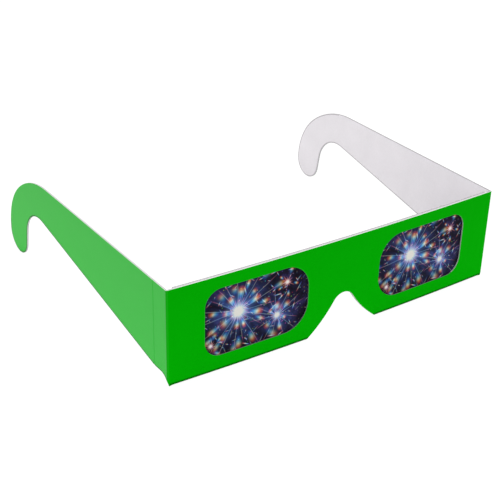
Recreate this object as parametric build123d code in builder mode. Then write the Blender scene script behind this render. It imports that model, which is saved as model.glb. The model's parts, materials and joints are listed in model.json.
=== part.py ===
from build123d import *
from math import acos, asin, atan2, cos, degrees, radians, sin, sqrt
import os

# Folding paper glasses with a diffraction film over each eye.
# One die-cut paperboard blank makes the front ply, a bottom fold, the rear ply, and an arm at each end.
# The two films lie glued between the plies. Each arm bends at a corner fold and at a second score.
# +X runs across the front to the right as seen from ahead, +Y runs back along the arms, +Z is up.
# The origin is the middle of the footprint, on the surface that the glasses stand on.
# Lengths are millimetres and angles are degrees.

# Board, film and glue
board_thickness = 0.6
film_thickness = 0.08
lamination_gap = 0.15  # between the two plies, filled by film and glue

# Front
front_width = 146.0  # outer corner to outer corner
front_height = 36.8
bow_depth = 1.5  # the middle of the front stands this far ahead of its ends
rear_setback = 3.0  # the rear ply and the bottom fold stop this far from the outer corner

# Board left round the windows
bridge_width = 32.4  # between the two windows
end_width = 14.4  # from a window to the outer corner
sill_height = 6.0  # below the windows
head_height = 4.7  # above the windows
window_nose_roundness = 0.766  # corner radius as a share of half the window's height
window_outer_radius = 6.5

# Nose notch
notch_height = 15.0
notch_top_radius = 5.0
notch_flank_slope = 57.0  # where the top's arc gives way to the flare's
notch_flare_radius = 50.0

# Films and glue
film_side_overlap = 3.3  # how far a film reaches past its window at each side
film_sill_overlap = 2.4
film_head_overlap = 2.1
glue_margin = 1.0  # bare board between the glue and every cut edge

# Folds and scores
fold_inner_radius = 0.15
score_distance = 8.35  # outer corner to the middle of the second score
score_width = 0.8
score_depth = 0.15
splay = 0.5  # each arm opens this far outward from square

# Arms
arm_length = 124.0  # outer corner to the back of the ear hook
relief_radius = 4.2  # die-cut round at the lower corner, which also sets the panel's lower edge
ear_radius = 12.7  # inside of the ear hook
throat_length = 6.9  # straight inner side of the hook's tip
throat_lean = 10.4
tip_radius = 7.6
back_radius = 28.0
crown_radius = 40.0
crown_turn = 50.0  # where the back arc gives way to the crown arc

# Overrun of every cut past the board that it cuts
overrun = 5.0

# Values that follow from the sizes above
fold_outer_radius = fold_inner_radius + board_thickness
front_thickness = 2 * board_thickness + lamination_gap
window_width = (front_width - bridge_width) / 2 - end_width
window_height = front_height - head_height - sill_height
window_x = (bridge_width + window_width) / 2
window_nose_radius = window_nose_roundness * window_height / 2
crease_x = front_width / 2 - fold_outer_radius
arm_beyond_crease = arm_length - fold_outer_radius
front_y = (bow_depth - fold_outer_radius - arm_beyond_crease * cos(radians(splay))) / 2
crease_y = front_y + fold_outer_radius
bow_radius = (crease_x**2 + bow_depth**2) / (2 * bow_depth)
bow_centre_y = front_y - bow_depth + bow_radius
rear_half_width = front_width / 2 - rear_setback
sides = {"left": -1, "right": 1}


def polar(radius, angle):
    """Vector of that length and direction in the plane of a sketch."""
    return Vector(radius * cos(radians(angle)), radius * sin(radians(angle)))


def tangent_angle(point, centre, radius):
    """Where on a circle the line from a point at its left runs along the circle's top."""
    reach = point - centre
    direction = degrees(atan2(reach.Y, reach.X)) % 360
    return direction - degrees(acos(radius / reach.length))


def save(piece, label):
    piece.part.label = label
    export_step(piece.part, f"parts/{label}.step")


# Bowed front


def bow_arc(depth, half_width):
    """Plan line of the bowed front at a depth behind its outer face."""
    radius = bow_radius - depth
    end_y = bow_centre_y - sqrt(radius**2 - half_width**2)
    return ThreePointArc((-half_width, end_y), (0, bow_centre_y - radius), (half_width, end_y))


def bowed_slab(near, far, half_width, bottom, top):
    """Sheet that follows the bow, from one depth behind the outer face to another."""
    with BuildPart() as slab:
        with BuildSketch(Plane.XY.offset(bottom)):
            with BuildLine():
                ahead = bow_arc(near, half_width)
                behind = bow_arc(far, half_width)
                Line(ahead @ 0, behind @ 0)
                Line(ahead @ 1, behind @ 1)
            make_face()
        extrude(amount=top - bottom)
    return slab.part


def window_outline(side, margin=0.0):
    """Eye window, rounder on its nose side. A margin makes it larger all round."""
    with BuildSketch(Plane.XZ) as outline:
        with Locations((side * window_x, sill_height + window_height / 2)):
            Rectangle(window_width + 2 * margin, window_height + 2 * margin)
        corners = outline.vertices().sort_by(Axis.X, reverse=side < 0)
        fillet(corners[:2], window_nose_radius + margin)
        corners = outline.vertices().sort_by(Axis.X, reverse=side < 0)
        fillet(corners[-2:], window_outer_radius + margin)
    return outline.sketch


def notch_outline(margin=0.0):
    """Bell-shaped nose notch. A margin makes it larger all round."""
    normal = 90 - notch_flank_slope
    top_centre = Vector(0, notch_height - notch_top_radius)
    flare_centre = top_centre + polar(notch_top_radius + notch_flare_radius, normal)
    flare_radius = notch_flare_radius - margin
    mouth = degrees(asin(flare_centre.Y / flare_radius))
    with BuildSketch(Plane.XZ) as outline:
        with BuildLine():
            CenterArc(top_centre, notch_top_radius + margin, normal, notch_flank_slope)
            flare = CenterArc(flare_centre, flare_radius, 180 + normal, mouth - normal)
            drop = Line(flare @ 1, flare @ 1 - Vector(0, overrun))
            Line(drop @ 1, (0, -overrun))
            mirror(about=Plane.YZ)
        make_face()
    return outline.sketch


def cut_openings(margin=0.0):
    """Cuts the two windows and the nose notch through the part being built."""
    for side in sides.values():
        extrude(window_outline(side, margin), amount=front_width, both=True, mode=Mode.SUBTRACT)
    extrude(notch_outline(margin), amount=front_width, both=True, mode=Mode.SUBTRACT)


def keep_rectangle(left, right, bottom, top):
    """Keeps what lies in a rectangle seen from ahead."""
    with BuildSketch(Plane.XZ) as kept:
        with Locations(((left + right) / 2, (bottom + top) / 2)):
            Rectangle(right - left, top - bottom)
    extrude(kept.sketch, amount=front_width, both=True, mode=Mode.INTERSECT)


def front_panel():
    """Outer ply. Its lower edge runs into the bottom fold, except for a short tab at each corner."""
    with BuildPart() as panel:
        add(bowed_slab(0, board_thickness, crease_x, 0, front_height))
        with BuildSketch(Plane.XZ) as fold_strip:
            Rectangle(2 * rear_half_width, front_thickness)
        extrude(fold_strip.sketch, amount=front_width, both=True, mode=Mode.SUBTRACT)
        cut_openings()
    return panel


def rear_panel():
    """Inner ply, folded up behind the outer one and stopped short of the corners."""
    near = board_thickness + lamination_gap
    with BuildPart() as panel:
        add(bowed_slab(near, front_thickness, rear_half_width, front_thickness / 2, front_height))
        cut_openings()
    return panel


def bottom_fold(side):
    """Round fold between the plies, on one side of the nose notch."""
    turn = degrees(asin((rear_half_width + overrun) / bow_radius))
    middle = Vector(front_y - bow_depth + front_thickness / 2, front_thickness / 2)
    bow_centre = Vector(0, bow_centre_y)
    with BuildPart() as fold:
        with BuildSketch(Plane.YZ):
            with BuildLine():
                outside = CenterArc(middle, front_thickness / 2, 180, 180)
                inside = CenterArc(middle, lamination_gap / 2, 180, 180)
                Line(outside @ 0, inside @ 0)
                Line(outside @ 1, inside @ 1)
            make_face()
        revolve(axis=Axis(bow_centre, (0, 0, 1)), revolution_arc=turn)
        keep_rectangle(0, rear_half_width, -overrun, front_thickness)
        extrude(notch_outline(), amount=front_width, both=True, mode=Mode.SUBTRACT)
        if side < 0:
            mirror(about=Plane.YZ, mode=Mode.REPLACE)
    return fold


def film(side):
    """Diffraction film stuck behind the outer ply, wider and taller than its window."""
    middle = side * window_x
    reach = window_width / 2 + film_side_overlap
    bottom = sill_height - film_sill_overlap
    top = front_height - head_height + film_head_overlap
    with BuildPart() as sheet:
        add(bowed_slab(board_thickness, board_thickness + film_thickness, crease_x, bottom, top))
        keep_rectangle(middle - reach, middle + reach, bottom, top)
    return sheet


def glue_layer(films):
    """Glue between the plies, thinner where it backs the films."""
    far = board_thickness + lamination_gap
    bottom = front_thickness / 2 + glue_margin
    with BuildPart() as glue:
        half_width = rear_half_width - glue_margin
        add(bowed_slab(board_thickness, far, half_width, bottom, front_height - glue_margin))
        cut_openings(glue_margin)
        for sheet in films:
            add(sheet.part, mode=Mode.SUBTRACT)
    return glue


# Arms


def arm_plane(side):
    """Plane of an arm through its corner fold's axis: x from the outer corner backward, y up."""
    along = Vector(side * sin(radians(splay)), cos(radians(splay)), 0)
    across = Vector(cos(radians(splay)), -side * sin(radians(splay)), 0)
    crease = Vector(side * crease_x, crease_y, 0)
    return Plane(origin=crease - along * fold_outer_radius, x_dir=along, z_dir=across)


def arm_outline():
    """Hinge panel and arm in one, up to the outer corner: a chain of lines and tangent arcs."""
    corner_top = Vector(0, front_height)
    score_foot = Vector(score_distance, relief_radius)
    tip_centre = Vector(arm_length - tip_radius, tip_radius)
    throat = polar(throat_length, throat_lean - 90)
    ear_centre = tip_centre - polar(ear_radius + tip_radius, throat_lean) - throat
    back_centre = tip_centre - polar(back_radius - tip_radius, 0)
    crown_centre = back_centre - polar(crown_radius - back_radius, crown_turn)
    crown_start = tangent_angle(corner_top, crown_centre, crown_radius)
    ear_end = tangent_angle(score_foot, ear_centre, ear_radius)
    with BuildSketch() as outline:
        with BuildLine():
            Line(corner_top, crown_centre + polar(crown_radius, crown_start))
            CenterArc(crown_centre, crown_radius, crown_turn, crown_start - crown_turn)
            CenterArc(back_centre, back_radius, 0, crown_turn)
            CenterArc(tip_centre, tip_radius, 180 + throat_lean, 180 - throat_lean)
            throat_foot = tip_centre - polar(tip_radius, throat_lean)
            Line(throat_foot, ear_centre + polar(ear_radius, throat_lean))
            CenterArc(ear_centre, ear_radius, throat_lean, ear_end - throat_lean)
            Line(ear_centre + polar(ear_radius, ear_end), score_foot)
            Line(score_foot, (relief_radius, relief_radius))
            CenterArc((relief_radius, 0), relief_radius, 90, 90)
            Line((0, 0), corner_top)
        make_face()
    return outline.sketch


def arm_board(side, start, end, thickness):
    """Board of an arm between two distances from the outer corner."""
    with BuildPart() as piece:
        with BuildSketch(arm_plane(side).offset(side * fold_inner_radius)):
            add(arm_outline())
            with Locations(((start + end) / 2, front_height / 2)):
                Rectangle(end - start, 2 * front_height, mode=Mode.INTERSECT)
        extrude(amount=side * thickness)
    return piece


def corner_crease(side):
    """Rounded corner where the outer ply turns into the arm."""
    start = 180 + splay if side < 0 else 270
    middle = Vector(side * crease_x, crease_y)
    with BuildPart() as crease:
        with BuildSketch():
            with BuildLine():
                outside = CenterArc(middle, fold_outer_radius, start, 90 - splay)
                inside = CenterArc(middle, fold_inner_radius, start, 90 - splay)
                Line(outside @ 0, inside @ 0)
                Line(outside @ 1, inside @ 1)
            make_face()
        extrude(amount=front_height)
        with BuildSketch(arm_plane(side)) as relief:
            with Locations((relief_radius, 0)):
                Circle(relief_radius)
        extrude(relief.sketch, amount=front_width, both=True, mode=Mode.SUBTRACT)
    return crease


def hinge_panel(side):
    """Narrow panel between the corner fold and the second score."""
    return arm_board(side, fold_outer_radius, score_distance - score_width / 2, board_thickness)


def score_crease(side):
    """Board left under the score's groove, on the printed side."""
    start = score_distance - score_width / 2
    return arm_board(side, start, start + score_width, board_thickness - score_depth)


def arm(side):
    """Arm from the second score to the ear hook."""
    return arm_board(side, score_distance + score_width / 2, arm_length, board_thickness)


os.makedirs("parts", exist_ok=True)
films = {name: film(side) for name, side in sides.items()}
save(front_panel(), "front_panel")
save(rear_panel(), "rear_panel")
save(glue_layer(films.values()), "glue_layer")
for name, side in sides.items():
    save(films[name], f"{name}_film")
    save(bottom_fold(side), f"{name}_bottom_fold")
    save(corner_crease(side), f"{name}_corner_crease")
    save(hinge_panel(side), f"{name}_hinge_panel")
    save(score_crease(side), f"{name}_score_crease")
    save(arm(side), f"{name}_arm")
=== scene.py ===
import json
from math import atan2, ceil, cos, pi, radians, sin, sqrt

import bmesh
import bpy
import numpy as np
from mathutils import Matrix, Vector
from mathutils.geometry import delaunay_2d_cdt
from mathutils.kdtree import KDTree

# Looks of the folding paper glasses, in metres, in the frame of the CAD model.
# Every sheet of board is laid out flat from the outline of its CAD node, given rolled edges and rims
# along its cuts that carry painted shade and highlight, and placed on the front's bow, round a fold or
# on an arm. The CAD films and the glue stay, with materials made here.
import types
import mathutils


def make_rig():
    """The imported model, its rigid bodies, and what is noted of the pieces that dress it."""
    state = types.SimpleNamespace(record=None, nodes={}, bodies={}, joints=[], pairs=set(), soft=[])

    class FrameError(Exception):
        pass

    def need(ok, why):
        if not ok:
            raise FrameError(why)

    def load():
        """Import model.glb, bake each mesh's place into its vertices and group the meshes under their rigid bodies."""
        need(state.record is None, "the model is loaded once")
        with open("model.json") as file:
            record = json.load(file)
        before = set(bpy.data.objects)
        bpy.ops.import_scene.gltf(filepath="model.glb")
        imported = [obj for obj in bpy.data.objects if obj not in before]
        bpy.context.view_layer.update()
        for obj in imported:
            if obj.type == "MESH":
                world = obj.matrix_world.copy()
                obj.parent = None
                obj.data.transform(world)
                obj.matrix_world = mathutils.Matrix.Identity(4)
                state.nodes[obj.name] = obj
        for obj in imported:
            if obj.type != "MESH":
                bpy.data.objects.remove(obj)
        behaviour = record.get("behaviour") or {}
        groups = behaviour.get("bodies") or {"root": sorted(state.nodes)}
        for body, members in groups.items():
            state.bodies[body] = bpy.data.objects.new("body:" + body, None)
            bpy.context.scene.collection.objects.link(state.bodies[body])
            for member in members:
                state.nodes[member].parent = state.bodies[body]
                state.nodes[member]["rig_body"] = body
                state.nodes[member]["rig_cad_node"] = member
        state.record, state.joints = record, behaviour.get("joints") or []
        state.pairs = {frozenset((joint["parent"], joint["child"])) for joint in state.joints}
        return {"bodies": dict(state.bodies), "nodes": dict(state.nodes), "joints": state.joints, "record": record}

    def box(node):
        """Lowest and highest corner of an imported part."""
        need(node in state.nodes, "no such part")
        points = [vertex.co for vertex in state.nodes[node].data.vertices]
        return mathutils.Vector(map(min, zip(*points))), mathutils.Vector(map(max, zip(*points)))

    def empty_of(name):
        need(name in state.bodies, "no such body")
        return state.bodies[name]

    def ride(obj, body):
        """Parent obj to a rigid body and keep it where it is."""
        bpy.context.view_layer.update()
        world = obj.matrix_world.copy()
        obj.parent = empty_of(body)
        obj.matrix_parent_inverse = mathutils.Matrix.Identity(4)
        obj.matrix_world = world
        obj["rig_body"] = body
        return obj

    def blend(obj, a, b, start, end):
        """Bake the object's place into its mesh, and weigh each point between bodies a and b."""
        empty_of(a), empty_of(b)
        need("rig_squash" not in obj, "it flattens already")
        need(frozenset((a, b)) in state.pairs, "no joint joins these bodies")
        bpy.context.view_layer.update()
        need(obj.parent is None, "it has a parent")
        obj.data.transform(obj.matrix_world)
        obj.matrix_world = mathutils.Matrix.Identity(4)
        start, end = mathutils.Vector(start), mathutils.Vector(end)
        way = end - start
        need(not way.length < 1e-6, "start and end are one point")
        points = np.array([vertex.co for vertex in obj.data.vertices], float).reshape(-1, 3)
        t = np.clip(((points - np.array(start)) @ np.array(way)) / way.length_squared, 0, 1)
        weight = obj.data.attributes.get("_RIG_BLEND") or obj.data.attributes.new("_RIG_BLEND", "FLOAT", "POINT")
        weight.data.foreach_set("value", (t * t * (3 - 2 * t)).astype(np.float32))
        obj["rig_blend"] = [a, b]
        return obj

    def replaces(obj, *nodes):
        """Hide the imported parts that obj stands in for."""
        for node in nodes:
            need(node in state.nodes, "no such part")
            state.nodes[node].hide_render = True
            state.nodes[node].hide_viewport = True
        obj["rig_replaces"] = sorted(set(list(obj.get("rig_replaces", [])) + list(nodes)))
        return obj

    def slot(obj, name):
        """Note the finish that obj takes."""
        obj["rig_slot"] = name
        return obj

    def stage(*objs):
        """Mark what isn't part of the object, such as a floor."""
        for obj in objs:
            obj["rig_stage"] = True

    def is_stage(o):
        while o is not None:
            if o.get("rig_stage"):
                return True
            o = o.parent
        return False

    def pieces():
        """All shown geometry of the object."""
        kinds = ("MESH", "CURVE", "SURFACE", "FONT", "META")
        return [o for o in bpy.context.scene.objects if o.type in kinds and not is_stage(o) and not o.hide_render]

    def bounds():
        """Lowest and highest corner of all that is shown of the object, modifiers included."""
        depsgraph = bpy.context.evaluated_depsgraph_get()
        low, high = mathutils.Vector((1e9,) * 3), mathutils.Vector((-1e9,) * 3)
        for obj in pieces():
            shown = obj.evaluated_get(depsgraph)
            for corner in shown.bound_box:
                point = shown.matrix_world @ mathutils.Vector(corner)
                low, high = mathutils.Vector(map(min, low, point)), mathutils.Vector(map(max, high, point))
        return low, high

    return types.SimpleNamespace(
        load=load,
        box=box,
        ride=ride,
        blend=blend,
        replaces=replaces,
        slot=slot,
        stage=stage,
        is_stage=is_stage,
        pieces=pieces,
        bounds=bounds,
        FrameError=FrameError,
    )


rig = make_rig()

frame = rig.load()
cad_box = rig.bounds()

mm = 0.001
up = Vector((0, 0, 1))
sides = {"left": -1, "right": 1}
joints = {joint["name"]: joint for joint in frame["joints"]}

# Board
board = 0.6 * mm
roll = 0.07 * mm  # rounding of a cut edge
core = 0.55 * board  # depth where the cut turns from its light part to its part painted dark as shade

# Strips along a cut, painted darker as shade; on the front's print, painted lighter as a highlight
rim = 0.3 * mm
arm_rim = 0.55 * mm
fold_rim = 0.1 * mm
narrow_rim = 0.24 * mm  # the part of the inner face's rim that is painted dark along a level upper edge
narrow_share = 0.8  # and the most of that rim that it takes up
inner_rim_level = 0.985  # how far up a cut faces where only the narrow part is painted dark
print_rim_level = 0.2  # how far up a cut faces where the print takes no painted rim
lit_facing = 0.4  # how far left a cut of the right window faces where it is painted lit

# Meshes
edge_step = 1.0 * mm
face_step = 1.6 * mm
crease_steps = 12
hem_steps = 14
ramp_steps = 4
grid_clearance = 0.45  # share of the grid's pitch that it keeps from the outlines
hem_clearance = 0.075  # less for the inner ply, so that it keeps all rows of the bottom fold
cdt_accuracy = 0.00001  # in shares of the pitch
weld = 0.001 * mm
line_width = 0.01 * mm  # how near a line a point counts as on it
smallest_area = 0.001 * mm**2
crisp_angle = radians(25)
printed_facing = 0.7  # how squarely a printed face looks out

# Front, from the frame
crease_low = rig.box("right_corner_crease")[0]
panel_low, panel_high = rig.box("front_panel")
rear_low, rear_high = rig.box("rear_panel")
corner_y = joints["right_corner_fold"]["pos_m"][1]
corner_x = crease_low.x
fold_radius = corner_y - crease_low.y
bow_depth = crease_low.y - panel_low.y
bow_radius = (corner_x**2 + bow_depth**2) / (2 * bow_depth)
bow_centre_y = panel_low.y + bow_radius
hem_radius = rear_low.z  # printed side of the bottom fold
hem_length = pi * hem_radius
tab_blend = 1.2 * mm  # reach over which the tabs beside the hem lose its roundness

# The films show through the outer ply as slightly raised panels
film_lift = 0.05 * mm
film_ramp = 0.9 * mm
film_boxes = [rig.box(f"{side}_film") for side in sides]

# Second score: a groove in the print and a bead behind it
groove_depth = 0.15 * mm
bead_height = 0.05 * mm

# Colours
front_green = (0.0, 0.4, 0.0)
# painted highlight: a lighter green for the front's rims along cuts that don't face up
front_rim_highlight_green = (0.012, 0.42, 0.012)
# painted shade: the underside of the bottom fold
hem_shade_green = (0.0, 0.17, 0.0)
# the arms' print: the front's green ink, painted lighter and paler as painted light
lit_arm_green = (0.048, 0.53, 0.06)
# painted shade: a dark green for the arms' rims along cuts that don't face up
arm_rim_shade_green = (0.03, 0.22, 0.035)
# the same on the score, a little darker
lit_score_green = (0.046, 0.505, 0.058)
# a paler band where the corner fold bends most
pale_bend_green = (0.1, 0.4, 0.11)
paper_white = (0.86, 0.83, 0.86)
# painted shade: a grey rim along the edges of the bare paper
paper_rim = (0.56, 0.54, 0.56)
cut_white = (0.9, 0.89, 0.9)
# painted shade: the dark far half of a cut
cut_shade_grey = (0.25, 0.24, 0.25)
# painted shade: the back half of the inner ply's cut
rear_cut_shade_grey = (0.24, 0.22, 0.24)
# painted shade: the dark walls of the windows
window_shade_grey = (0.13, 0.18, 0.14)
# painted light: the right window's walls that face left
window_lit_pale = (0.45, 0.5, 0.46)
glue_dull = (0.62, 0.6, 0.54)
glue_clear = (0.75, 0.73, 0.66)

# Print
painted_light_gain = 0.13  # painted light: how much lighter the print is painted at the standing line than at the upper edge
hem_shade_top = 1.3 * mm  # height of the strip above the standing line where the bottom fold is painted in shade
front_hem_shade = [(0.7, hem_shade_green)]  # its painted shade, by the share of that height
rear_hem_shade_and_print = [(0.7, hem_shade_green), (0.9, front_green), (0.98, front_green)]  # painted shade, then the print, which ends above these
# round a corner fold, by the turn: the front's green, a paler band, then the arms' painted-light green
fold_inks_and_light = [(0.74, front_green), (0.84, pale_bend_green), (0.92, pale_bend_green), (1.0, lit_arm_green)]
fold_wander = 0.05  # share of a quarter turn by which they wander

# Paper
cloud_size = 9 * mm
fibre_size = 0.45 * mm
fibre_stretch = (1, 1, 0.45)
sheen_wander = 0.08
layer_size = 0.16 * mm
layer_stretch = (1, 1, 0.15)

# Camera, from the photograph
picture_pixels = 500
sensor = 36.0
focal_pixels = 1084.34
camera_place = Vector((-223.587, -320.95, 207.893)) * mm
heading = radians(35.144)
dip = radians(27.486)
camera_roll = radians(1.3985)


# Node helpers


def wire(tree, source, socket):
    """Links a socket, or sets a constant."""
    if isinstance(source, bpy.types.NodeSocket):
        tree.links.new(source, socket)
    else:
        socket.default_value = source


def compute(tree, operation, *sources):
    """Result of a sum on numbers."""
    node = tree.nodes.new("ShaderNodeMath")
    node.operation = operation
    for source, socket in zip(sources, node.inputs):
        wire(tree, source, socket)
    return node.outputs[0]


def vector_node(tree, operation, *sources):
    node = tree.nodes.new("ShaderNodeVectorMath")
    node.operation = operation
    for source, socket in zip(sources, node.inputs):
        wire(tree, source, socket)
    return node


def combine(tree, operation, *sources):
    """Vector or colour sum, difference or product."""
    return vector_node(tree, operation, *sources).outputs["Vector"]


def measure(tree, operation, *sources):
    """A vector's length, or the dot product of two."""
    return vector_node(tree, operation, *sources).outputs["Value"]


def scaled(tree, vector, amount):
    node = vector_node(tree, "SCALE", vector)
    wire(tree, amount, node.inputs["Scale"])
    return node.outputs["Vector"]


def split(tree, kind, source):
    """The three numbers of a vector, for the kind XYZ, or of a colour, for Color."""
    node = tree.nodes.new(f"ShaderNodeSeparate{kind}")
    wire(tree, source, node.inputs[0])
    return tuple(node.outputs)


def flat_vector(tree, x, y):
    node = tree.nodes.new("ShaderNodeCombineXYZ")
    wire(tree, x, node.inputs["X"])
    wire(tree, y, node.inputs["Y"])
    return node.outputs[0]


def noise(tree, place, size, detail=2.0, roughness=0.5, output="Fac"):
    """Noise whose features are about that size, in the unit of the place."""
    node = tree.nodes.new("ShaderNodeTexNoise")
    node.inputs["Scale"].default_value = 1 / size
    node.inputs["Detail"].default_value = detail
    node.inputs["Roughness"].default_value = roughness
    wire(tree, place, node.inputs["Vector"])
    return node.outputs[output]


def ramp(tree, factor, stops):
    """Colours along a factor: (position, colour) pairs."""
    node = tree.nodes.new("ShaderNodeValToRGB")
    elements = node.color_ramp.elements
    while len(elements) < len(stops):
        elements.new(1)
    for element, (position, colour) in zip(elements, stops):
        element.position = position
        element.color = (*colour, 1)
    wire(tree, factor, node.inputs["Fac"])
    return node.outputs["Color"]


def remap(tree, factor, low, high):
    """A factor that runs from 0 to 1, stretched to run from low to high."""
    return compute(tree, "MULTIPLY_ADD", factor, high - low, low)


def emboss(tree, shader, height, strength, distance):
    """Gives a surface bumps."""
    bump = tree.nodes.new("ShaderNodeBump")
    bump.inputs["Strength"].default_value = strength
    bump.inputs["Distance"].default_value = distance
    wire(tree, height, bump.inputs["Height"])
    wire(tree, bump.outputs[0], shader.inputs["Normal"])


def new_material(name):
    material = bpy.data.materials.new(name)
    material.use_nodes = True
    tree = material.node_tree
    shader = tree.nodes["Principled BSDF"]
    place = tree.nodes.new("ShaderNodeTexCoord").outputs["Object"]
    return material, tree, shader, place


# Board finishes


def painted_light_below(tree, place, colour):
    """A print's colour, painted lighter toward the lower edge as painted light."""
    height = split(tree, "XYZ", place)[2]
    slope = -painted_light_gain / panel_high.z
    return scaled(tree, colour, compute(tree, "MULTIPLY_ADD", height, slope, 1 + painted_light_gain / 2))


def board_material(name, colour, mottle, gloss, sheen, tooth, printed=True, hem=()):
    """Paperboard. mottle is how far its tone wanders, sheen its mean roughness, tooth the height of
    its fibres and hem its colours near the standing line, with the bottom fold's painted shade."""
    material, tree, shader, place = new_material(name)
    if hem:
        height = compute(tree, "DIVIDE", split(tree, "XYZ", place)[2], hem_shade_top)
        colour = ramp(tree, height, [*hem, (1.0, colour)])
    # Printed board is painted lighter toward its lower edge, as painted light
    if printed:
        colour = painted_light_below(tree, place, colour)
    clouds = noise(tree, place, cloud_size, detail=3)
    stretched = combine(tree, "MULTIPLY", place, fibre_stretch)
    fibres = noise(tree, stretched, fibre_size, detail=3, roughness=0.6)
    tones = [remap(tree, factor, -mottle, mottle) for factor in (clouds, fibres)]
    tint = scaled(tree, colour, compute(tree, "ADD", compute(tree, "ADD", *tones), 1.0))
    wire(tree, tint, shader.inputs["Base Color"])
    roughness = remap(tree, fibres, sheen - sheen_wander, sheen + sheen_wander)
    wire(tree, roughness, shader.inputs["Roughness"])
    shader.inputs["Specular IOR Level"].default_value = gloss
    emboss(tree, shader, fibres, strength=0.35, distance=tooth)
    return material


def fold_material(side):
    """Print round a corner, turning from the front's green to the arms' green, which is painted lighter as painted
    light, with a paler band where it bends most.
    """
    material, tree, shader, place = new_material(f"ink_fold_{side}")
    reach = combine(tree, "SUBTRACT", place, arm_axes(side)[0])
    x, y = split(tree, "XYZ", reach)[:2]
    aside = compute(tree, "MULTIPLY", x, float(sides[side]))
    ahead = compute(tree, "MULTIPLY", y, -1.0)
    turn = compute(tree, "DIVIDE", compute(tree, "ARCTAN2", aside, ahead), pi / 2)
    fibres = noise(tree, place, size=0.4 * mm, detail=3)
    turn = compute(tree, "ADD", turn, remap(tree, fibres, -fold_wander, fold_wander))
    wire(tree, painted_light_below(tree, place, ramp(tree, turn, fold_inks_and_light)), shader.inputs["Base Color"])
    shader.inputs["Roughness"].default_value = 0.6
    shader.inputs["Specular IOR Level"].default_value = 0.1
    return material


def cut_material(name, colour):
    """Cut edge of the board, with the board's layers running along it."""
    material, tree, shader, place = new_material(name)
    layers = noise(tree, combine(tree, "MULTIPLY", place, layer_stretch), layer_size)
    tone = remap(tree, layers, low=0.9, high=1.08)
    wire(tree, scaled(tree, colour, tone), shader.inputs["Base Color"])
    shader.inputs["Roughness"].default_value = 0.9
    shader.inputs["Specular IOR Level"].default_value = 0.1
    emboss(tree, shader, layers, strength=0.5, distance=0.03 * mm)
    return material


def glue_material():
    material, tree, shader, place = new_material("glue_dry")
    tint = ramp(tree, noise(tree, place, size=4 * mm), [(0.3, glue_dull), (0.7, glue_clear)])
    wire(tree, tint, shader.inputs["Base Color"])
    shader.inputs["Roughness"].default_value = 0.45
    return material


# Films, in millimetres from the middle of their picture. Each shows lamps seen through a grating.

rainbow = [
    (0.0, (0.0, 0.0, 0.0)),
    (0.12, (0.01, 0.05, 0.28)),
    (0.3, (0.05, 0.3, 0.6)),
    (0.44, (0.3, 0.62, 0.66)),
    (0.56, (0.8, 0.76, 0.5)),
    (0.68, (0.8, 0.34, 0.08)),
    (0.82, (0.42, 0.05, 0.02)),
    (1.0, (0.0, 0.0, 0.0)),
]
needle = [
    (0.0, (0.5, 0.55, 0.8)),
    (0.35, (0.15, 0.42, 0.7)),
    (0.6, (0.5, 0.55, 0.5)),
    (0.8, (0.6, 0.15, 0.28)),
    (1.0, (0.0, 0.0, 0.0)),
]
ember = [
    (0.0, (0.9, 0.6, 0.6)),
    (0.5, (0.6, 0.2, 0.17)),
    (1.0, (0.0, 0.0, 0.0)),
]
spark = [
    (0.0, (0.0, 0.0, 0.0)),
    (0.2, (0.06, 0.1, 0.5)),
    (0.45, (0.3, 0.62, 0.75)),
    (0.62, (0.75, 0.7, 0.62)),
    (0.8, (0.6, 0.13, 0.12)),
    (1.0, (0.0, 0.0, 0.0)),
]
night = [
    (0.4, (0.005, 0.003, 0.008)),
    (0.53, (0.01, 0.007, 0.024)),
    (0.63, (0.024, 0.02, 0.08)),
    (0.76, (0.07, 0.045, 0.12)),
]
brightest = (0.76, 0.74, 0.7)
haze_size = 6.25  # of the clouds in the ground, and of the drift that bends the streaks
drift_reach = 0.7
picture_shift = 1.2 * mm  # how far outward each film's picture sits

# A lamp is its place, its haloes (radius, colour, size of its rays, their weakest and strongest),
# its core (radius, colour, strength) and its rings of streaks (count, turn, inner and outer
# radius, width, how much it grows with the radius, strength, colours, seed).
lamps = [
    (
        (-6.5, 1.8),
        [
            (8.5, (0.025, 0.06, 0.2), 1 / 2.6, 0.1, 1.5),
            (3.4, (0.18, 0.25, 0.5), 1 / 6, 0.4, 1.5),
        ],
        (1.75, (0.8, 0.78, 0.74), 1.5),
        [
            (34, 0.0, 0.0, 4.4, 0.1, 0.02, 0.7, needle, 3.0),
            (8, 0.3, 3.6, 8.6, 0.4, 0.09, 1.0, rainbow, 11.0),
            (11, 0.8, 8.4, 14.0, 0.3, 0.05, 0.75, rainbow, 23.0),
            (13, 0.4, 14.5, 21.5, 0.25, 0.04, 0.6, rainbow, 29.0),
            (19, 0.1, 2.0, 17.0, 0.13, 0.0, 0.5, needle, 31.0),
        ],
    ),
    (
        (9.5, -4.6),
        [(5.0, (0.04, 0.07, 0.24), 1 / 2.8, 0.15, 1.5)],
        (1.0, (0.75, 0.7, 0.76), 1.4),
        [
            (20, 0.2, 0.0, 2.9, 0.09, 0.02, 0.75, needle, 41.0),
            (6, 0.45, 2.2, 5.6, 0.3, 0.09, 0.95, rainbow, 53.0),
            (13, 0.6, 1.5, 11.0, 0.11, 0.0, 0.5, needle, 61.0),
        ],
    ),
    (
        (13.5, 7.4),
        [],
        (0.75, (0.9, 0.62, 0.6), 1.1),
        [
            (12, 0.1, 0.0, 2.9, 0.12, 0.01, 1.0, ember, 71.0),
            (5, 0.2, 3.0, 6.0, 0.2, 0.06, 0.8, rainbow, 83.0),
        ],
    ),
    (
        (-17.5, -8.6),
        [],
        (0.7, (0.8, 0.66, 0.76), 1.0),
        [
            (12, 0.4, 0.0, 2.6, 0.11, 0.01, 0.9, ember, 91.0),
            (6, 0.7, 2.6, 6.4, 0.24, 0.07, 0.9, rainbow, 101.0),
        ],
    ),
]

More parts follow.
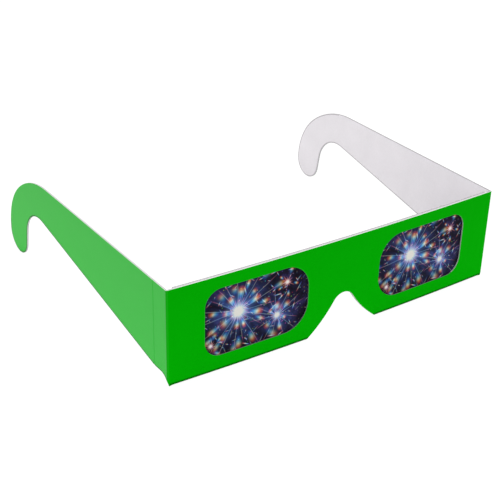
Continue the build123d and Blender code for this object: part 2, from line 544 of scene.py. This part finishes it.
# Strewn glints: size of their cells, half length, width, strength and a shift of the cells
strewn = [
    (5.2, 1.7, 0.16, 1.0, (0.0, 0.0)),
    (4.1, 1.2, 0.12, 0.75, (37.0, 11.0)),
]

# How rays, streaks and glints differ, as shares
ray_contrast = (0.35, 0.65)  # the noise that counts as the weakest and the strongest ray
streak_stray = 0.24
streak_widths = (0.6, 1.25)
streak_stretches = (0.8, 1.35)
streak_dimmest = 0.45
glint_scatter = 0.85
glint_lengths = (0.9, 2.6)
glint_dimmest = 0.15


def polar(tree, place, centre):
    """Distance, bearing and direction from a lamp."""
    reach = combine(tree, "SUBTRACT", place, (*centre, 0.0))
    x, y = split(tree, "XYZ", reach)[:2]
    bearing = compute(tree, "ARCTAN2", y, x)
    return measure(tree, "LENGTH", reach), bearing, combine(tree, "NORMALIZE", reach)


def bell(tree, distance, width):
    """1 at no distance, falling off like a bell."""
    square = compute(tree, "POWER", compute(tree, "DIVIDE", distance, width), 2.0)
    return compute(tree, "EXPONENT", compute(tree, "MULTIPLY", square, -1.0))


def fan(tree, direction, size, low, high):
    """Uneven rays round a lamp, as a factor about 1."""
    rays = noise(tree, direction, size, detail=3)
    node = tree.nodes.new("ShaderNodeMapRange")
    wire(tree, rays, node.inputs["Value"])
    sockets = ("From Min", "From Max", "To Min", "To Max")
    for socket, value in zip(sockets, (*ray_contrast, low, high)):
        node.inputs[socket].default_value = value
    return node.outputs[0]


def glow(tree, lamp, radius, colour, strength):
    return scaled(tree, colour, compute(tree, "MULTIPLY", bell(tree, lamp[0], radius), strength))


def streaks(tree, lamp, count, turn, inner, outer, width, growth, strength, stops, seed):
    """Ring of streaks round a lamp, each of its own bearing, length and brightness."""
    distance, bearing = lamp[:2]
    spacing = 2 * pi / count
    turned = compute(tree, "ADD", compute(tree, "DIVIDE", bearing, spacing), turn + count)
    number = compute(tree, "ROUND", turned)
    chance = tree.nodes.new("ShaderNodeTexWhiteNoise")
    chance.noise_dimensions = "1D"
    own = compute(tree, "ADD", compute(tree, "MODULO", number, float(count)), seed)
    wire(tree, own, chance.inputs["W"])
    lucks = split(tree, "Color", chance.outputs["Color"])
    offset = remap(tree, lucks[0], -streak_stray, streak_stray)
    aside = compute(tree, "SUBTRACT", compute(tree, "SUBTRACT", turned, number), offset)
    aside = compute(tree, "MULTIPLY", compute(tree, "MULTIPLY", aside, spacing), distance)
    thickness = compute(tree, "MULTIPLY_ADD", distance, growth, width)
    thickness = compute(tree, "MULTIPLY", thickness, remap(tree, lucks[1], *streak_widths))
    shape = bell(tree, aside, thickness)
    stretched = compute(tree, "MULTIPLY", distance, remap(tree, lucks[2], *streak_stretches))
    along = compute(tree, "DIVIDE", compute(tree, "SUBTRACT", stretched, inner), outer - inner)
    colour = ramp(tree, along, stops)
    started = compute(tree, "GREATER_THAN", along, 0.0)
    brightness = remap(tree, lucks[1], strength, streak_dimmest * strength)
    amount = compute(tree, "MULTIPLY", shape, brightness)
    return scaled(tree, colour, compute(tree, "MULTIPLY", amount, started))


def glints(tree, place, spacing, half_length, width, strength, offset):
    """Straight glints strewn at every angle, one to a cell."""
    moved = combine(tree, "ADD", place, (*offset, 0.0))
    cells = tree.nodes.new("ShaderNodeTexVoronoi")
    cells.voronoi_dimensions = "2D"
    cells.inputs["Scale"].default_value = 1 / spacing
    cells.inputs["Randomness"].default_value = glint_scatter
    wire(tree, moved, cells.inputs["Vector"])
    lucks = split(tree, "Color", cells.outputs["Color"])
    angle = remap(tree, lucks[0], 0.0, 2 * pi)
    direction = flat_vector(tree, compute(tree, "COSINE", angle), compute(tree, "SINE", angle))
    reach = combine(tree, "SUBTRACT", moved, cells.outputs["Position"])
    along = measure(tree, "DOT_PRODUCT", reach, direction)
    aside = measure(tree, "LENGTH", combine(tree, "CROSS_PRODUCT", reach, direction))
    length = remap(tree, lucks[1], *(share * half_length for share in glint_lengths))
    share = compute(tree, "ADD", compute(tree, "DIVIDE", along, length), 0.5)
    colour = ramp(tree, share, spark)
    brightness = remap(tree, lucks[2], glint_dimmest, strength)
    return scaled(tree, colour, compute(tree, "MULTIPLY", bell(tree, aside, width), brightness))


def specks(tree, place, spacing, radius, strength):
    """Small points of light over the whole film."""
    cells = tree.nodes.new("ShaderNodeTexVoronoi")
    cells.inputs["Scale"].default_value = 1 / spacing
    wire(tree, place, cells.inputs["Vector"])
    shape = bell(tree, cells.outputs["Distance"], radius)
    return scaled(tree, cells.outputs["Color"], compute(tree, "MULTIPLY", shape, strength))


def lamp_lights(tree, place):
    """All the lights of the picture."""
    parts = []
    for centre, haloes, core_glow, rings in lamps:
        lamp = polar(tree, place, centre)
        for radius, colour, size, low, high in haloes:
            parts.append(glow(tree, lamp, radius, colour, fan(tree, lamp[2], size, low, high)))
        parts.append(glow(tree, lamp, *core_glow))
        parts += [streaks(tree, lamp, *ring) for ring in rings]
    parts += [glints(tree, place, *kind) for kind in strewn]
    parts.append(specks(tree, place, spacing=4 / 3, radius=0.12, strength=0.5))
    return parts


def film_material(name, centre):
    """Diffraction film over a dark ground. centre is the middle of its picture."""
    material, tree, shader, place = new_material(name)
    reach = scaled(tree, combine(tree, "SUBTRACT", place, centre), 1 / mm)
    x, _, z = split(tree, "XYZ", reach)
    local = flat_vector(tree, x, z)
    drift = noise(tree, local, haze_size, output="Color")
    shift = scaled(tree, combine(tree, "SUBTRACT", drift, (0.5, 0.5, 0.5)), drift_reach)
    bent = combine(tree, "MULTIPLY", combine(tree, "ADD", local, shift), (1, 1, 0))
    picture = ramp(tree, noise(tree, local, haze_size, detail=6, roughness=0.68), night)
    for part in lamp_lights(tree, bent):
        picture = combine(tree, "ADD", picture, part)
    wire(tree, combine(tree, "MINIMUM", picture, brightest), shader.inputs["Base Color"])
    shader.inputs["Roughness"].default_value = 0.28
    shader.inputs["Specular IOR Level"].default_value = 0.04
    emboss(tree, shader, noise(tree, place, size=16 * mm), strength=0.3, distance=0.4 * mm)
    return material


def film(side):
    """Gives a CAD film its picture."""
    node = f"{side}_film"
    low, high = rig.box(node)
    centre = (low + high) / 2 + Vector((picture_shift * sides[side], 0, 0))
    frame["nodes"][node].material_slots[0].material = film_material(f"film_{side}", centre)


# Flat outlines, laid out from the CAD nodes


def signed_area(loop):
    return sum(a.x * b.y - b.x * a.y for a, b in zip(loop, loop[1:] + loop[:1])) / 2


def outlines(node, flatten, is_printed):
    """Closed outlines of a CAD node's printed face, with the board on the left of each."""
    mesh = bmesh.new()
    mesh.from_mesh(frame["nodes"][node].data)
    bmesh.ops.remove_doubles(mesh, verts=mesh.verts, dist=weld)
    printed = {face for face in mesh.faces if is_printed(face.calc_center_median(), face.normal)}
    following = {}
    for face in printed:
        for loop in face.loops:
            if len(printed.intersection(loop.edge.link_faces)) == 1:
                following[loop.vert] = loop.link_loop_next.vert
    loops = []
    while following:
        first, vertex = following.popitem()
        loop = [flatten(first.co)]
        while vertex is not first:
            loop.append(flatten(vertex.co))
            vertex = following.pop(vertex)
        loops.append(loop)
    mesh.free()
    loops.sort(key=lambda loop: (-abs(signed_area(loop)), loop[0].x))
    if signed_area(loops[0]) < 0:
        loops = [loop[::-1] for loop in loops]
    return loops


def subdivided(loop, step):
    """The loop with more points, no further apart than the step across, or edge_step upward."""
    points = []
    for a, b in zip(loop, loop[1:] + loop[:1]):
        count = max(1, ceil(abs(b.x - a.x) / step), ceil(abs(b.y - a.y) / edge_step))
        points += [a.lerp(b, k / count) for k in range(count)]
    return points


def inset(loop, distance, joined):
    """The loop moved into the board, except along a line where the board carries on past it."""
    moved = []
    for before, point, after in zip(loop[-1:] + loop[:-1], loop, loop[1:] + loop[:1]):
        arriving = (point - before).normalized()
        leaving = (after - point).normalized()
        inward_a = Vector((-arriving.y, arriving.x))
        inward_b = Vector((-leaving.y, leaving.x))
        held_a = joined(before, point)
        held_b = joined(point, after)
        if held_a and held_b:
            shift = Vector((0, 0))
        elif held_a:
            shift = arriving * (distance / arriving.dot(inward_b))
        elif held_b:
            shift = leaving * (distance / leaving.dot(inward_a))
        else:
            shift = (inward_a + inward_b) * (distance / (1 + inward_a.dot(inward_b)))
        moved.append(point + shift)
    return moved


def within(points, loops):
    """Which points lie in the board, by the edges crossed on the way out."""
    x, y = points.T
    odd = np.zeros(len(points), bool)
    for loop in loops:
        for a, b in zip(loop, loop[1:] + loop[:1]):
            if a.y != b.y:
                crossed = (a.y > y) != (b.y > y)
                odd ^= crossed & (x < (b.x - a.x) * (y - a.y) / (b.y - a.y) + a.x)
    return odd


def regions(triangles, walls):
    """Triangles grouped into regions that the walls keep apart."""
    sharing = {}
    for index, triangle in enumerate(triangles):
        for edge in zip(triangle, triangle[1:] + triangle[:1]):
            sharing.setdefault(frozenset(edge), []).append(index)
    unseen = set(range(len(triangles)))
    while unseen:
        waiting = [unseen.pop()]
        region = []
        while waiting:
            triangle = triangles[waiting.pop()]
            region.append(triangle)
            for edge in zip(triangle, triangle[1:] + triangle[:1]):
                if frozenset(edge) not in walls:
                    found = unseen.intersection(sharing[frozenset(edge)])
                    unseen -= found
                    waiting += found
        yield region


def filled(loops, columns, rows, pitch, clearance):
    """Triangles over the board, on a grid that keeps clear of the outlines by a share of its pitch."""

    def to_grid(point):
        return Vector((point.x / pitch[0], point.y / pitch[1]))

    rims = [to_grid(point) for loop in loops for point in loop]
    finder = KDTree(len(rims))
    for index, point in enumerate(rims):
        finder.insert(point.to_3d(), index)
    finder.balance()
    grid = np.array([(x, y) for x in columns for y in rows])
    chosen = [to_grid(Vector(p)) for p, kept in zip(grid, within(grid, loops)) if kept]
    chosen = [p for p in chosen if finder.find(p.to_3d())[2] > clearance]
    constraints = []
    start = 0
    for loop in loops:
        count = len(loop)
        constraints += [(start + k, start + (k + 1) % count) for k in range(count)]
        start += count
    found = delaunay_2d_cdt(rims + chosen, constraints, [], 0, cdt_accuracy)
    places, edges, triangles, _, edge_origins, _ = found
    points = [Vector((p.x * pitch[0], p.y * pitch[1])) for p in places]
    walls = {frozenset(edge) for edge, origins in zip(edges, edge_origins) if origins}
    chosen = []
    for region in regions(triangles, walls):
        areas = [abs(signed_area([points[k] for k in triangle])) for triangle in region]
        largest = region[areas.index(max(areas))]
        middle = sum((points[k] for k in largest), Vector((0, 0))) / 3
        if max(areas) > smallest_area and within(np.array([middle]), loops)[0]:
            chosen += region
    return points, chosen


# Sheets of board

# Finishes of the bands across a cut, from the printed face to the inner one. The rims carry painted shade, on the
# front's print a painted highlight
inner_bands = ["inner_rim", "inner_rim", "inner_wide"]
piece_bands = ["print_rim", "print_rim", "cut_print", "cut_inner", *inner_bands]
window_bands = ["print_rim", "print_rim", "cut_window", "cut_window", *inner_bands]


def upward(a, b):
    """How far the cut along an outline's edge faces up, from 1 to -1."""
    return (a.x - b.x) / (b - a).length


def band_along(band, facing):
    """Finish of a band where the cut beside it faces up that far: cuts facing up get no painted rim on the print,
    level upper edges only a narrow one inside.
    """
    if band == "print_rim" and facing > print_rim_level:
        return "print"
    if band == "inner_wide":
        return "inner" if facing > inner_rim_level else "inner_rim"
    return band


def sheet(name, loops, place, joined, columns, rows, finishes,
          step=edge_step, pitch=(face_step, face_step), clearance=grid_clearance, border=rim):
    """A sheet of board placed in space: two faces, rims of painted shade and highlight, rolled edges and a cut wall.
    """
    loops = [subdivided(loop, step) for loop in loops]
    profile = [(border, 0), (roll, 0), (0, roll), (0, core), (0, board - roll), (roll, board)]
    profile += [(min(narrow_rim, narrow_share * border), board), (border, board)]
    vertices, faces, names = [], [], []
    for loop in loops:
        count = len(loop)
        start = len(vertices)
        for distance, depth in profile:
            vertices += [place(p.x, p.y, depth) for p in inset(loop, distance, joined)]
        for ring, band in enumerate(piece_bands if loop is loops[0] else window_bands):
            near = start + ring * count
            far = near + count
            for k in range(count):
                after = (k + 1) % count
                faces.append((near + k, near + after, far + after, far + k))
                names.append(band_along(band, upward(loop[k], loop[after])))
    inner_loops = [inset(loop, border, joined) for loop in loops]
    points, triangles = filled(inner_loops, columns, rows, pitch, clearance)
    for depth, face_name in ((0, "print"), (board, "inner")):
        start = len(vertices)
        vertices += [place(p.x, p.y, depth) for p in points]
        faces += [tuple(start + k for k in triangle) for triangle in triangles]
        names += [face_name] * len(triangles)
    mesh = bpy.data.meshes.new(name)
    mesh.from_pydata(vertices, [], faces)
    kinds = sorted(finishes)
    for kind in kinds:
        mesh.materials.append(finishes[kind])
    for polygon, kind in zip(mesh.polygons, names):
        polygon.material_index = kinds.index(kind)
    close_up(mesh)
    piece = bpy.data.objects.new(name, mesh)
    bpy.context.scene.collection.objects.link(piece)
    return piece


def close_up(mesh):
    """Joins the bands of a sheet, turns its faces outward and shades it smooth up to its edges."""
    shape = bmesh.new()
    shape.from_mesh(mesh)
    bmesh.ops.remove_doubles(shape, verts=shape.verts, dist=weld)
    bmesh.ops.dissolve_degenerate(shape, edges=shape.edges, dist=weld)
    bmesh.ops.recalc_face_normals(shape, faces=shape.faces)
    shape.to_mesh(mesh)
    shape.free()
    mesh.shade_smooth()
    mesh.set_sharp_from_angle(angle=crisp_angle)


def on_line(value, line):
    return abs(value - line) < line_width


def spread(low, high, step, extra=()):
    """Even positions from low to high, with any extra ones."""
    count = max(1, round((high - low) / step))
    return sorted({low + (high - low) * k / count for k in range(count + 1)} | set(extra))


# Front


def bowed(x, z, depth):
    """Point of the bowed front, at a depth behind its outer face."""
    return Vector((x, bow_centre_y - sqrt((bow_radius - depth) ** 2 - x * x), z))


def lift_over_films(x, z):
    """How far the films push the ply out."""
    nearest = max(min(x - low.x, high.x - x, z - low.z, high.z - z) for low, high in film_boxes)
    share = min(max(nearest / film_ramp + 1, 0), 1)
    return film_lift * share * share * (3 - 2 * share)


def film_lines(axis):
    """Grid lines across the ramps at the films' edges."""
    lines = []
    for low, high in film_boxes:
        for k in range(ramp_steps + 1):
            reach = film_ramp * k / ramp_steps
            lines += [low[axis] - reach, high[axis] + reach]
    return lines


def flat_front(point):
    return Vector((point.x, point.z))


def outer_ply(finishes):
    loops = outlines("front_panel", flat_front, lambda middle, normal: normal.y < -printed_facing)

    def place(x, z, depth):
        point = bowed(x, z, depth - lift_over_films(x, z))
        if z < hem_radius:
            share = min((corner_x - abs(x)) / tab_blend, 1)
            drop = min(hem_radius - z, hem_radius)
            point.y += share * (hem_radius - sqrt(hem_radius**2 - drop**2))
        return point

    def joined(a, b):
        at_crease = on_line(abs(a.x), corner_x) and on_line(abs(b.x), corner_x)
        return at_crease or (on_line(a.y, hem_radius) and on_line(b.y, hem_radius))

    columns = spread(-corner_x, corner_x, face_step, film_lines(0))
    rows = spread(0, panel_high.z, face_step, film_lines(2))
    piece = sheet("outer_ply", loops, place, joined, columns, rows, finishes)
    # The far half of the outer ply's cut keeps its painted shade only where no inner ply stands behind it
    kinds = sorted(finishes)
    for polygon in piece.data.polygons:
        kind = kinds[polygon.material_index]
        if kind == "cut_inner" and abs(polygon.center.x) < rear_high.x:
            polygon.material_index = kinds.index("cut_print")
        # Cuts of the right window that face left are painted lit
        elif kind == "cut_window" and polygon.center.x > 0 and polygon.normal.x < -lit_facing:
            polygon.material_index = kinds.index("cut_window_pale")
    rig.ride(piece, "front")
    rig.replaces(piece, "front_panel")
    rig.slot(piece, "printed_board")


def hem_end(slope, x, turn):
    """Point of the bottom fold's end at the notch, laid out flat."""
    drop = hem_radius * sin(turn)
    return Vector((x + slope * drop, -hem_radius * turn))


def with_hem(loop, slope):
    """The inner ply's outline laid out flat below the outer ply, with the bottom fold between them."""
    points = [Vector((p.x, hem_radius - hem_length - p.y)) for p in loop][::-1]
    # Of a row of points along the fold, only the ends stay
    low = [on_line(p.y, -hem_length) for p in points]
    inside_row = [low[k - 1] and low[k] and low[(k + 1) % len(low)] for k in range(len(low))]
    points = [p for p, skipped in zip(points, inside_row) if not skipped]
    longer = []
    for a, b in zip(points, points[1:] + points[:1]):
        longer.append(a)
        if on_line(a.y, -hem_length) and on_line(b.y, -hem_length):
            outward = 1 if a.x > 0 else -1
            inner_x = min(abs(a.x), abs(b.x))
            outer_x = max(abs(a.x), abs(b.x))
            turns = [pi - pi * k / hem_steps for k in range(1, hem_steps + 1)]
            detour = [hem_end(slope, inner_x, turn) for turn in turns]
            detour = [Vector((outward * p.x, p.y)) for p in detour] + [Vector((outward * outer_x, 0))]
            longer += detour if abs(a.x) < abs(b.x) else detour[::-1]
    return longer


def notch_slope(loop):
    """How fast the notch widens downward where it meets the bottom fold."""
    foot = min((p for p in loop if on_line(p.y, hem_radius) and p.x > 0), key=lambda p: p.x)
    index = loop.index(foot)
    neighbour = max(loop[index - 1], loop[(index + 1) % len(loop)], key=lambda p: p.y)
    return (foot.x - neighbour.x) / (neighbour.y - foot.y)


def inner_ply(finishes):
    loops = outlines("rear_panel", flat_front, lambda middle, normal: normal.y > printed_facing)
    slope = notch_slope(loops[0])
    flat = [with_hem(loop, slope) for loop in loops]

    def place(x, reach, depth):
        if reach > -hem_length:
            turn = -reach / hem_radius
            radius = hem_radius - depth
            return bowed(x, hem_radius - radius * sin(turn), hem_radius - radius * cos(turn))
        return bowed(x, hem_radius - hem_length - reach, 2 * hem_radius - depth)

    def joined(a, b):
        return on_line(a.y, 0) and on_line(b.y, 0)

    hem_rows = [-hem_length * k / hem_steps for k in range(hem_steps + 1)]
    columns = spread(rear_low.x, rear_high.x, face_step)
    rows = spread(-hem_length - rear_high.z + hem_radius, -hem_length, face_step, hem_rows)
    piece = sheet("inner_ply", flat, place, joined, columns, rows, finishes, clearance=hem_clearance)
    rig.ride(piece, "front")
    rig.replaces(piece, "rear_panel", "left_bottom_fold", "right_bottom_fold")
    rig.slot(piece, "printed_board")


# Corner folds, hinge panels, second scores and arms


def arm_axes(side):
    """Axis of the corner fold, and the directions along the arm and out of its printed face."""
    corner = Vector(joints[f"{side}_corner_fold"]["pos_m"])
    score = Vector(joints[f"{side}_score_fold"]["pos_m"])
    along = (score - corner).normalized()
    return corner, along, along.cross(up) * sides[side]


def corner_fold(side, finishes):
    """Skin round the corner, which bends with the hinge panel."""
    node = f"{side}_corner_crease"
    corner, _, outward = arm_axes(side)
    sign = sides[side]
    length = fold_radius * atan2(outward.x * sign, -outward.y)

    def flatten(point):
        reach = point - corner
        return Vector((fold_radius * atan2(reach.x * sign, -reach.y), point.z))

    def is_printed(middle, normal):
        reach = (middle - corner).to_2d()
        faces_out = normal.to_2d().dot(reach) > printed_facing * reach.length
        return faces_out and reach.length > fold_radius / 2

    def place(reach, z, depth):
        turn = reach / fold_radius
        radius = fold_radius - depth
        return corner + Vector((sign * radius * sin(turn), -radius * cos(turn), z))

    def joined(a, b):
        return any(on_line(a.x, line) and on_line(b.x, line) for line in (0, length))

    step = length / crease_steps
    columns = [length * k / crease_steps for k in range(1, crease_steps)]
    rows = spread(0, panel_high.z, edge_step)
    loops = outlines(node, flatten, is_printed)
    piece = sheet(f"{side}_corner_skin", loops, place, joined, columns, rows, finishes,
                  step, (step, edge_step), border=fold_rim)
    start = corner - Vector((0, fold_radius, 0))
    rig.blend(piece, "front", f"{side}_hinge", start=start, end=corner + outward * fold_radius)
    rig.replaces(piece, node)
    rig.slot(piece, "printed_board")


def flat_board(side, node, name, finishes, scored=False):
    """Flat board of an arm, between the lines where it carries on into its neighbours."""
    corner, along, outward = arm_axes(side)

    def flatten(point):
        reach = point - corner
        return Vector((reach.dot(along) + fold_radius, point.z))

    loops = outlines(node, flatten, lambda middle, normal: normal.dot(outward) > printed_facing)
    low = Vector((min(p.x for p in loops[0]), min(p.y for p in loops[0])))
    high = Vector((max(p.x for p in loops[0]), max(p.y for p in loops[0])))
    ends = [low.x] if node.endswith("_arm") else [low.x, high.x]

    def place(u, z, depth):
        if scored:
            share = (u - low.x) / (high.x - low.x)
            dent = 0.5 - 0.5 * cos(2 * pi * share)
            depth += dent * (groove_depth if depth < board / 2 else bead_height)
        return corner + along * (u - fold_radius) + outward * (fold_radius - depth) + up * z

    def joined(a, b):
        return any(on_line(a.x, line) and on_line(b.x, line) for line in ends)

    step = (high.x - low.x) / crease_steps if scored else edge_step
    pitch = (step, edge_step) if scored else (face_step, face_step)
    columns = spread(low.x, high.x, pitch[0])[1:-1]
    rows = spread(low.y, high.y, pitch[1])
    border = rim if scored else arm_rim
    piece = sheet(name, loops, place, joined, columns, rows, finishes, step, pitch, border=border)
    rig.replaces(piece, node)
    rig.slot(piece, "arm_board")
    return piece, place, low.x, high.x


def arm(side, finishes, score_finishes):
    panel = flat_board(side, f"{side}_hinge_panel", f"{side}_hinge_board", finishes)[0]
    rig.ride(panel, f"{side}_hinge")
    skin, place, near, far = flat_board(
        side, f"{side}_score_crease", f"{side}_score_skin", score_finishes, scored=True)
    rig.blend(skin, f"{side}_hinge", f"{side}_temple", start=place(near, 0, 0), end=place(far, 0, 0))
    board_piece = flat_board(side, f"{side}_arm", f"{side}_arm_board", finishes)[0]
    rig.ride(board_piece, f"{side}_temple")


# Stage


def lit_from_all_round(strength):
    """White surroundings that light the object at the given strength and look white themselves."""
    world = bpy.data.worlds.new("studio")
    world.use_nodes = True
    tree = world.node_tree
    tree.nodes.clear()
    rays = tree.nodes.new("ShaderNodeLightPath")
    seen = compute(tree, "MAXIMUM", rays.outputs["Is Camera Ray"], rays.outputs["Is Glossy Ray"])
    seen = compute(tree, "MAXIMUM", seen, rays.outputs["Is Transmission Ray"])
    soft = tree.nodes.new("ShaderNodeBackground")
    soft.inputs["Strength"].default_value = strength
    soft.inputs["Color"].default_value = (1, 1, 1, 1)
    white = tree.nodes.new("ShaderNodeBackground")
    white.inputs["Color"].default_value = (1, 1, 1, 1)
    mix = tree.nodes.new("ShaderNodeMixShader")
    wire(tree, seen, mix.inputs[0])
    tree.links.new(soft.outputs[0], mix.inputs[1])
    tree.links.new(white.outputs[0], mix.inputs[2])
    output = tree.nodes.new("ShaderNodeOutputWorld")
    tree.links.new(mix.outputs[0], output.inputs["Surface"])
    bpy.context.scene.world = world


def floor(half_width, shade, shadow_share, brightness, light):
    """White floor. The camera sees it at one brightness, with a share of the object's shadow.
    light is how brightly it is lit."""
    mesh = bpy.data.meshes.new("floor")
    corners = [(-half_width, -half_width, 0), (half_width, -half_width, 0),
               (half_width, half_width, 0), (-half_width, half_width, 0)]
    mesh.from_pydata(corners, [], [(0, 1, 2, 3)])
    material = bpy.data.materials.new("floor_white")
    material.use_nodes = True
    tree = material.node_tree
    tree.nodes.clear()
    rays = tree.nodes.new("ShaderNodeLightPath")
    plain = tree.nodes.new("ShaderNodeBsdfDiffuse")
    plain.inputs["Color"].default_value = (shade, shade, shade, 1)
    faint = tree.nodes.new("ShaderNodeBsdfDiffuse")
    faint.inputs["Color"].default_value = (shadow_share, shadow_share, shadow_share, 1)
    shine = tree.nodes.new("ShaderNodeEmission")
    shine.inputs["Color"].default_value = (1, 1, 1, 1)
    shine.inputs["Strength"].default_value = brightness - shadow_share * light
    shown = tree.nodes.new("ShaderNodeAddShader")
    tree.links.new(faint.outputs[0], shown.inputs[0])
    tree.links.new(shine.outputs[0], shown.inputs[1])
    mix = tree.nodes.new("ShaderNodeMixShader")
    tree.links.new(rays.outputs["Is Camera Ray"], mix.inputs[0])
    tree.links.new(plain.outputs[0], mix.inputs[1])
    tree.links.new(shown.outputs[0], mix.inputs[2])
    output = tree.nodes.new("ShaderNodeOutputMaterial")
    tree.links.new(mix.outputs[0], output.inputs["Surface"])
    mesh.materials.append(material)
    ground = bpy.data.objects.new("floor", mesh)
    bpy.context.scene.collection.objects.link(ground)
    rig.stage(ground)


def softbox(name, place, aim, size, power):
    data = bpy.data.lights.new(name, "AREA")
    data.size = size
    data.energy = power
    lamp = bpy.data.objects.new(name, data)
    lamp.location = place
    lamp.rotation_euler = (Vector(aim) - Vector(place)).to_track_quat("-Z", "Y").to_euler()
    bpy.context.scene.collection.objects.link(lamp)


def camera():
    data = bpy.data.cameras.new("camera")
    data.sensor_width = sensor
    data.lens = focal_pixels * sensor / picture_pixels
    data.clip_start = 10 * mm
    view = bpy.data.objects.new("camera", data)
    facing = Matrix.Rotation(-heading, 4, "Z") @ Matrix.Rotation(pi / 2 - dip, 4, "X")
    view.matrix_world = Matrix.Translation(camera_place) @ facing @ Matrix.Rotation(camera_roll, 4, "Z")
    bpy.context.scene.collection.objects.link(view)
    bpy.context.scene.camera = view
    bpy.context.scene.view_settings.view_transform = "Standard"


# Build

front_ink = board_material("ink_front", front_green, hem=front_hem_shade,
                           mottle=0.02, gloss=0.01, sheen=0.55, tooth=0.02 * mm)
# The front's rims take a painted highlight
front_rim_highlight_ink = board_material("ink_front_rim", front_rim_highlight_green,
                               mottle=0.03, gloss=0.02, sheen=0.6, tooth=0.02 * mm)
# The arms' print is painted lighter than the front's, as painted light
lit_arm_ink = board_material("ink_arm", lit_arm_green,
                         mottle=0.025, gloss=0.2, sheen=0.5, tooth=0.02 * mm)
# The arms' rims take painted shade
arm_rim_shade_ink = board_material("ink_arm_rim", arm_rim_shade_green,
                             mottle=0.03, gloss=0.2, sheen=0.6, tooth=0.02 * mm)
score_ink = board_material("ink_score", lit_score_green,
                           mottle=0.05, gloss=0.2, sheen=0.6, tooth=0.03 * mm)

# Bare paper, also on the back of the front, where the print ends just above the fold
paper = {"mottle": 0.05, "sheen": 0.85, "printed": False}
inside = board_material("paper_inside", paper_white, gloss=0.15, tooth=0.09 * mm, **paper)
# Rims of painted shade along the edges of the bare paper
inside_rim_shade = board_material("paper_rim", paper_rim, gloss=0.1, tooth=0.05 * mm, **paper)
# The back of the front carries the bottom fold's painted shade, then the end of the print
rear_paper = {**paper, "hem": rear_hem_shade_and_print}
rear = board_material("paper_rear", paper_white, gloss=0.15, tooth=0.05 * mm, **rear_paper)
rear_rim_shade = board_material("paper_rear_rim", paper_rim, gloss=0.1, tooth=0.05 * mm, **rear_paper)

cut_light = cut_material("cut_light", cut_white)
# The far half of each cut is painted shade
cut_dark = cut_material("cut_dark", cut_shade_grey)
cut_rear = cut_material("cut_rear", rear_cut_shade_grey)
# The windows' walls are painted shade
cut_window = cut_material("cut_window", window_shade_grey)
# The right window's walls that face left are painted lit
cut_window_pale = cut_material("cut_window_pale", window_lit_pale)

lining = {"inner": inside, "inner_rim": inside_rim_shade, "cut_print": cut_light, "cut_inner": cut_dark}
front_finishes = {"print": front_ink, "print_rim": front_rim_highlight_ink, **lining}
front_finishes.update({"cut_window": cut_window, "cut_window_pale": cut_window_pale})
rear_finishes = {"print": rear, "print_rim": rear_rim_shade, "cut_window": cut_window, **lining}
# The back half of the inner ply's cut is painted shade
rear_finishes.update({"cut_print": cut_rear, "cut_inner": cut_light})
arm_finishes = {"print": lit_arm_ink, "print_rim": arm_rim_shade_ink, **lining}
score_finishes = {**arm_finishes, "print": score_ink}

outer_ply(front_finishes)
inner_ply(rear_finishes)
for side in sides:
    bent_print = fold_material(side)
    corner_fold(side, {**lining, "print": bent_print, "print_rim": bent_print})
    arm(side, arm_finishes, score_finishes)
    film(side)
frame["nodes"]["glue_layer"].material_slots[0].material = glue_material()

lit_from_all_round(strength=0.97)
floor(half_width=2.0, shade=0.8, shadow_share=0.2, brightness=1.06, light=0.9)
softbox("key", place=(-0.6, -0.5, 0.9), aim=(0, 0, 0.02), size=0.7, power=1.4)
softbox("low_right", place=(0.3, -0.42, 0.1), aim=(0.02, -0.06, 0.01), size=0.25, power=0.08)
camera()

visual_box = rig.bounds()
boxes = {"cad": [list(point) for point in cad_box], "visual": [list(point) for point in visual_box]}
with open("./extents.json", "w") as report:
    json.dump(boxes, report)
